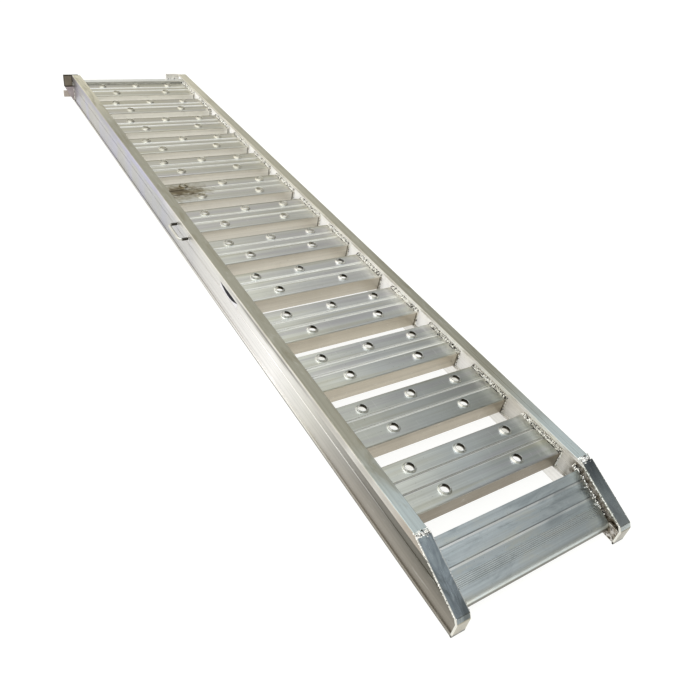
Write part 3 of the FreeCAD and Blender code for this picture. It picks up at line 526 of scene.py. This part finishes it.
# Flame-cut bar: painted dull brown-grey as shade, inside a near-black rim, with a lighter lower toe.
metal = Metal("shade_painted_hook_bar", "#857D6F", "#6E6759", 0.6)
inside_rim = metal.where((metal.x, (arm_low.x + rail_low.x) / 2 + 2 * MM, 12.5 * MM, 2 * MM),
                         (metal.z, (arm_bottom + arm_high.z) / 2, 18 * MM, 2 * MM))
rim = add(metal.tree, "ShaderNodeMath", {0: inside_rim, 1: -0.85, 2: 0.85}, operation="MULTIPLY_ADD")
metal.lay("#2B261C", rim.outputs[0])
metal.lay("#B9AFA6", (metal.z, arm_bottom - 4 * MM, arm_bottom - 9 * MM), 0.9)
metal.finish(("left_hook_plate",), (60.0, 60.0, 60.0), 0.12, 0.1, 0.5)

# Bar with its grain along the ramp, painted near white as the lit one of the pair, half matt.
metal = Metal("lit_painted_hook_bar", "#F4F2EF", "#D8D5D2", 0.6)
metal.finish(("right_hook_plate",), (60.0, 400.0, 60.0), 0.1, 0.1, 0.4)

# Sheared plate left as it was cut: painted grey as shade, with a faint pink cast that is painted warm
# reflection.
metal = Metal("shade_painted_gusset_plate", "#B3A9AA", "#A2989A", 0.6)
metal.finish(("left_hook_gusset",), (60.0, 60.0, 400.0), 0.1, 0.1, 0.45)


# ---- Side handle --------------------------------------------------------------------------------
# A round aluminium rod bent to a flat loop. Its grip is bright, and its legs are painted dark with
# shade beside the welds.

# Drawn rod, the smoothest after the caps, painted near black as shade where the legs reach the rail.
handle_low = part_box("side_handle")[0]
metal = Metal("handle_rod_aluminium", "#C9C8C2", "#B3B1A9", 0.4)
metal.lay("#2E2A22", (metal.x, handle_low.x + 8 * MM, handle_low.x + 12 * MM), 0.95)
metal.finish(("side_handle",), (60.0, 60.0, 60.0), 0.08, 0.0, 0.3)


# ---- Label --------------------------------------------------------------------------------------
# Matt white vinyl with a plain dark blue bar along it, a little bowed. It carries no mark.

label_low, label_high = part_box("side_label")
label_middle = (label_low + label_high) / 2
bar_bow = 6.5 * MM
bar_half = 7 * MM

# Printed vinyl: a matt plastic with hardly any mirror to it, and road grime in its grain.
vinyl = Finish("printed_vinyl", "#D6D5DA", 0.0)
grime = vinyl.mottle(45.0, 5.0)
vinyl.lay("#A7A49A", (grime, 0.5, 0.75), 0.4)
from_label = add(vinyl.tree, "ShaderNodeMath", {0: vinyl.y, 1: label_middle.y}, operation="SUBTRACT")
share_out = add(vinyl.tree, "ShaderNodeMath", {0: from_label.outputs[0], 1: (label_high.y - label_low.y) / 2},
                operation="DIVIDE").outputs[0]
squared = add(vinyl.tree, "ShaderNodeMath", {0: share_out, 1: share_out}, operation="MULTIPLY")
bow = add(vinyl.tree, "ShaderNodeMath", {0: 1.0, 1: squared.outputs[0]}, operation="SUBTRACT").outputs[0]
up = add(vinyl.tree, "ShaderNodeMath", {0: vinyl.z, 1: label_high.z - 2.5 * MM}, operation="SUBTRACT")
bent_up = add(vinyl.tree, "ShaderNodeMath", {0: bow, 1: bar_bow, 2: up.outputs[0]}, operation="MULTIPLY_ADD")
from_bar = add(vinyl.tree, "ShaderNodeMath", {0: bent_up.outputs[0]}, operation="ABSOLUTE")
bar_width = add(vinyl.tree, "ShaderNodeMath", {0: bow, 1: bar_half}, operation="MULTIPLY")
ink = add(vinyl.tree, "ShaderNodeMath", {0: from_bar.outputs[0], 1: bar_width.outputs[0]},
          operation="LESS_THAN")
vinyl.lay("#030513", ink.outputs[0])
vinyl_rough = add(vinyl.tree, "ShaderNodeMapRange", {"Value": grime, "From Min": 0.3, "From Max": 0.7,
                                                     "To Min": 0.5, "To Max": 0.65})
vinyl.shader.inputs["Specular IOR Level"].default_value = 0.15
vinyl.put_on(("side_label",), vinyl_rough.outputs[0])


# ---- Weld beads ---------------------------------------------------------------------------------
# Hand-laid aluminium weld: overlapping drops along each joint, bright where the metal froze clean
# and specked with black where oxide and soot stayed in the pits.

# Weld metal left as it froze: near white, half matt and pitted. Its real pits are finer; some 6 mm
# apart is as coarse as they need to be to show.
metal = Metal("laid_weld_aluminium", "#FFFFFC", "#E9E7DF", 0.5)
pits = metal.mottle(170.0, 3.0)
metal.lay("#4F493E", (pits, 0.5, 0.62), 0.85)
metal.lay("#1F1C17", (pits, 0.56, 0.62), 0.95)
metal.finish((), (90.0, 90.0, 90.0), 0.08, 0.0, 0.4, relief=metal.where(pits, 0.3))
weld_metal = metal.material


def weld_tree():
    """Geometry nodes that lay overlapping drops of weld along the edges of a mesh."""
    made = bpy.data.node_groups.new("laid_weld", "GeometryNodeTree")
    made.interface.new_socket("Geometry", in_out="INPUT", socket_type="NodeSocketGeometry")
    for name in ("Spacing", "Drop", "Wander"):
        made.interface.new_socket(name, in_out="INPUT", socket_type="NodeSocketFloat")
    made.interface.new_socket("Seed", in_out="INPUT", socket_type="NodeSocketInt")
    made.interface.new_socket("Geometry", in_out="OUTPUT", socket_type="NodeSocketGeometry")
    sizes = add(made, "NodeGroupInput").outputs
    path = add(made, "GeometryNodeMeshToCurve", {"Mesh": sizes["Geometry"]}).outputs[0]
    steps = add(made, "GeometryNodeResampleCurve", {"Curve": path, "Length": sizes["Spacing"]},
                mode="LENGTH").outputs[0]
    low = add(made, "ShaderNodeMath", {0: sizes["Wander"], 1: -1.0}, operation="MULTIPLY").outputs[0]
    stray = add(made, "FunctionNodeRandomValue", {"Min": low, "Max": sizes["Wander"],
                                                  "Seed": sizes["Seed"]}, data_type="FLOAT_VECTOR")
    moved = add(made, "GeometryNodeSetPosition", {"Geometry": steps, "Offset": stray.outputs[0]})
    along = add(made, "FunctionNodeAlignRotationToVector",
                {"Vector": add(made, "GeometryNodeInputTangent").outputs[0]}, axis="X")
    turn = add(made, "FunctionNodeRandomValue", {"Min": (-0.5, -0.5, -0.5), "Max": (0.5, 0.5, 0.5),
                                                 "Seed": sizes["Seed"]}, data_type="FLOAT_VECTOR")
    tilted = add(made, "FunctionNodeRotateRotation", {
        "Rotation": along.outputs[0],
        "Rotate By": add(made, "FunctionNodeEulerToRotation", {"Euler": turn.outputs[0]}).outputs[0]})
    size = add(made, "FunctionNodeRandomValue", {"Min": (0.45, 0.7, 0.6), "Max": (0.75, 1.2, 1.1),
                                                 "Seed": sizes["Seed"]}, data_type="FLOAT_VECTOR")
    scaled = add(made, "ShaderNodeVectorMath", {0: size.outputs[0], "Scale": sizes["Drop"]},
                 operation="SCALE")
    drop = add(made, "GeometryNodeMeshIcoSphere", {"Radius": 1.0, "Subdivisions": 2}).outputs["Mesh"]
    laid = add(made, "GeometryNodeInstanceOnPoints", {"Points": moved.outputs[0], "Instance": drop,
                                                      "Rotation": tilted.outputs[0],
                                                      "Scale": scaled.outputs[0]}).outputs[0]
    real = add(made, "GeometryNodeRealizeInstances", {"Geometry": laid}).outputs[0]
    smooth = add(made, "GeometryNodeSetShadeSmooth", {0: real}).outputs[0]
    coated = add(made, "GeometryNodeSetMaterial", {"Geometry": smooth, "Material": weld_metal})
    add(made, "NodeGroupOutput", {"Geometry": coated.outputs[0]})
    return made


weld_nodes = weld_tree()


def lay_weld(node, runs, drop, spacing, wander, seed):
    """The weld that stands for a plain CAD bead, laid along runs of points."""
    name = node + "_laid"
    points = []
    edges = []
    for run in runs:
        edges += [(len(points) + step, len(points) + step + 1) for step in range(len(run) - 1)]
        points += run
    mesh = bpy.data.meshes.new(name)
    mesh.from_pydata(points, edges, [])
    path = bpy.data.objects.new(name + "_path", mesh)
    bpy.context.scene.collection.objects.link(path)
    layer = path.modifiers.new("weld", "NODES")
    layer.node_group = weld_nodes
    sizes = {"Spacing": spacing, "Drop": drop, "Wander": wander, "Seed": seed}
    for socket in weld_nodes.interface.items_tree:
        if socket.in_out == "INPUT" and socket.name in sizes:
            layer[socket.identifier] = sizes[socket.name]
    bpy.context.view_layer.update()
    solid = bpy.data.meshes.new_from_object(path.evaluated_get(bpy.context.evaluated_depsgraph_get()))
    bpy.data.objects.remove(path)
    solid.name = name
    piece = bpy.data.objects.new(name, solid)
    bpy.context.scene.collection.objects.link(piece)
    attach(piece, "root")
    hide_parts(node)


def straight(first, last):
    return [Vector(first), Vector(last)]


# Rungs to rails: three runs over each end of a rung, and one down each of its walls.
for side, node in ((-1, "left_rung_welds"), (1, "right_rung_welds")):
    runs = []
    for rung in rung_names:
        low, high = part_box(rung)
        end = high.x if side > 0 else low.x
        for inset, lift in ((1.8 * MM, 2.4 * MM), (4.4 * MM, 1.0 * MM), (7.0 * MM, 0.2 * MM)):
            runs.append(straight((end - side * inset, low.y + 1 * MM, rung_top + lift),
                                 (end - side * inset, high.y - 1 * MM, rung_top + lift)))
        for face in (low.y - 0.8 * MM, high.y + 0.8 * MM):
            runs.append(straight((end - side * 1.2 * MM, face, low.z + 2 * MM),
                                 (end - side * 1.2 * MM, face, rung_top - 3 * MM)))
    lay_weld(node, runs, 2.6 * MM, 3.3 * MM, 0.9 * MM, 4 + side)

# Caps: five runs side by side across the top edge, and one down each side of the slope.
runs = []
for cap in ("left_nose_cap", "right_nose_cap"):
    low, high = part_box(cap)
    for step, lift in ((-6.0 * MM, -2.8 * MM), (-2.5 * MM, -1.2 * MM), (1.0 * MM, -0.4 * MM),
                       (4.5 * MM, -0.6 * MM), (8.0 * MM, -0.9 * MM)):
        runs.append(straight((low.x + 1 * MM, high.y + step, high.z + lift),
                             (high.x - 1 * MM, high.y + step, high.z + lift)))
    for across in (low.x + 0.8 * MM, high.x - 0.8 * MM):
        runs.append(straight((across, low.y + nose_bend + 2 * MM, nose_height - 1.8 * MM),
                             (across, high.y - 2 * MM, high.z - 1.8 * MM)))
lay_weld("nose_cap_welds", runs, 2.1 * MM, 2.6 * MM, 0.8 * MM, 11)

# Foot plank: three runs down each end.
runs = []
for side in (-1, 1):
    end = plank_high.x if side > 0 else plank_low.x
    for inset, lift in ((-2.0 * MM, 1.5 * MM), (2.2 * MM, 2.6 * MM), (6.4 * MM, 1.2 * MM)):
        across = end + side * (4 * MM - inset)
        above = lift - 1 * MM
        runs.append(straight((across, plank_high.y - 2 * MM, plank_high.z + above),
                             (across, plank_high.y - plank_depth * math.cos(slope_angle),
                              plank_high.z - plank_depth * math.sin(slope_angle) + above)))
lay_weld("foot_plank_welds", runs, 3.6 * MM, 4.0 * MM, 1.3 * MM, 17)

# End angle: one upright run at each end.
low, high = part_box("end_plate_welds")
runs = [straight((across, high.y - 1 * MM, low.z + 1 * MM), (across, high.y - 1 * MM, high.z - 1 * MM))
        for across in (low.x + 1 * MM, high.x - 1 * MM)]
lay_weld("end_plate_welds", runs, 2.2 * MM, 2.6 * MM, 0.6 * MM, 23)

# Hooks: two upright runs at the left rail, and one along and one down beside the right plate.
plate_low, plate_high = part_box("right_hook_plate")
gusset_low, gusset_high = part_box("left_hook_gusset")
seat_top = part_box("end_plate")[1].z
runs = [
    straight((rail_low.x + 2.2 * MM, plate_low.y - 1 * MM, gusset_high.z + 3 * MM),
             (rail_low.x + 2.2 * MM, plate_low.y - 1 * MM, lip_bottom - 1 * MM)),
    straight((rail_low.x + 2.2 * MM, gusset_low.y - 1 * MM, gusset_low.z + 2 * MM),
             (rail_low.x + 2.2 * MM, gusset_low.y - 1 * MM, gusset_high.z - 6 * MM)),
    straight((plate_low.x + 5 * MM, plate_low.y - 1 * MM, seat_top + 1 * MM),
             (plate_high.x - 1 * MM, plate_low.y - 1 * MM, seat_top + 1 * MM)),
    straight((plate_low.x + 3 * MM, plate_low.y + 1 * MM, arm_bottom + 1 * MM),
             (plate_low.x + 3 * MM, plate_low.y + 1 * MM, seat_top - 1 * MM)),
]
lay_weld("hook_welds", runs, 2.0 * MM, 2.4 * MM, 0.7 * MM, 29)

# Handle: a ring around each leg.
low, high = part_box("handle_welds")
rod_middle = (low.z + high.z) / 2
ring = 4.6 * MM
runs = []
for leg in (low.y + 5.4 * MM, high.y - 5.4 * MM):
    turns = [2 * math.pi * step / 10 for step in range(11)]
    runs.append([Vector((high.x - 1 * MM, leg + ring * math.cos(turn), rod_middle + ring * math.sin(turn)))
                 for turn in turns])
lay_weld("handle_welds", runs, 1.6 * MM, 1.9 * MM, 0.4 * MM, 31)
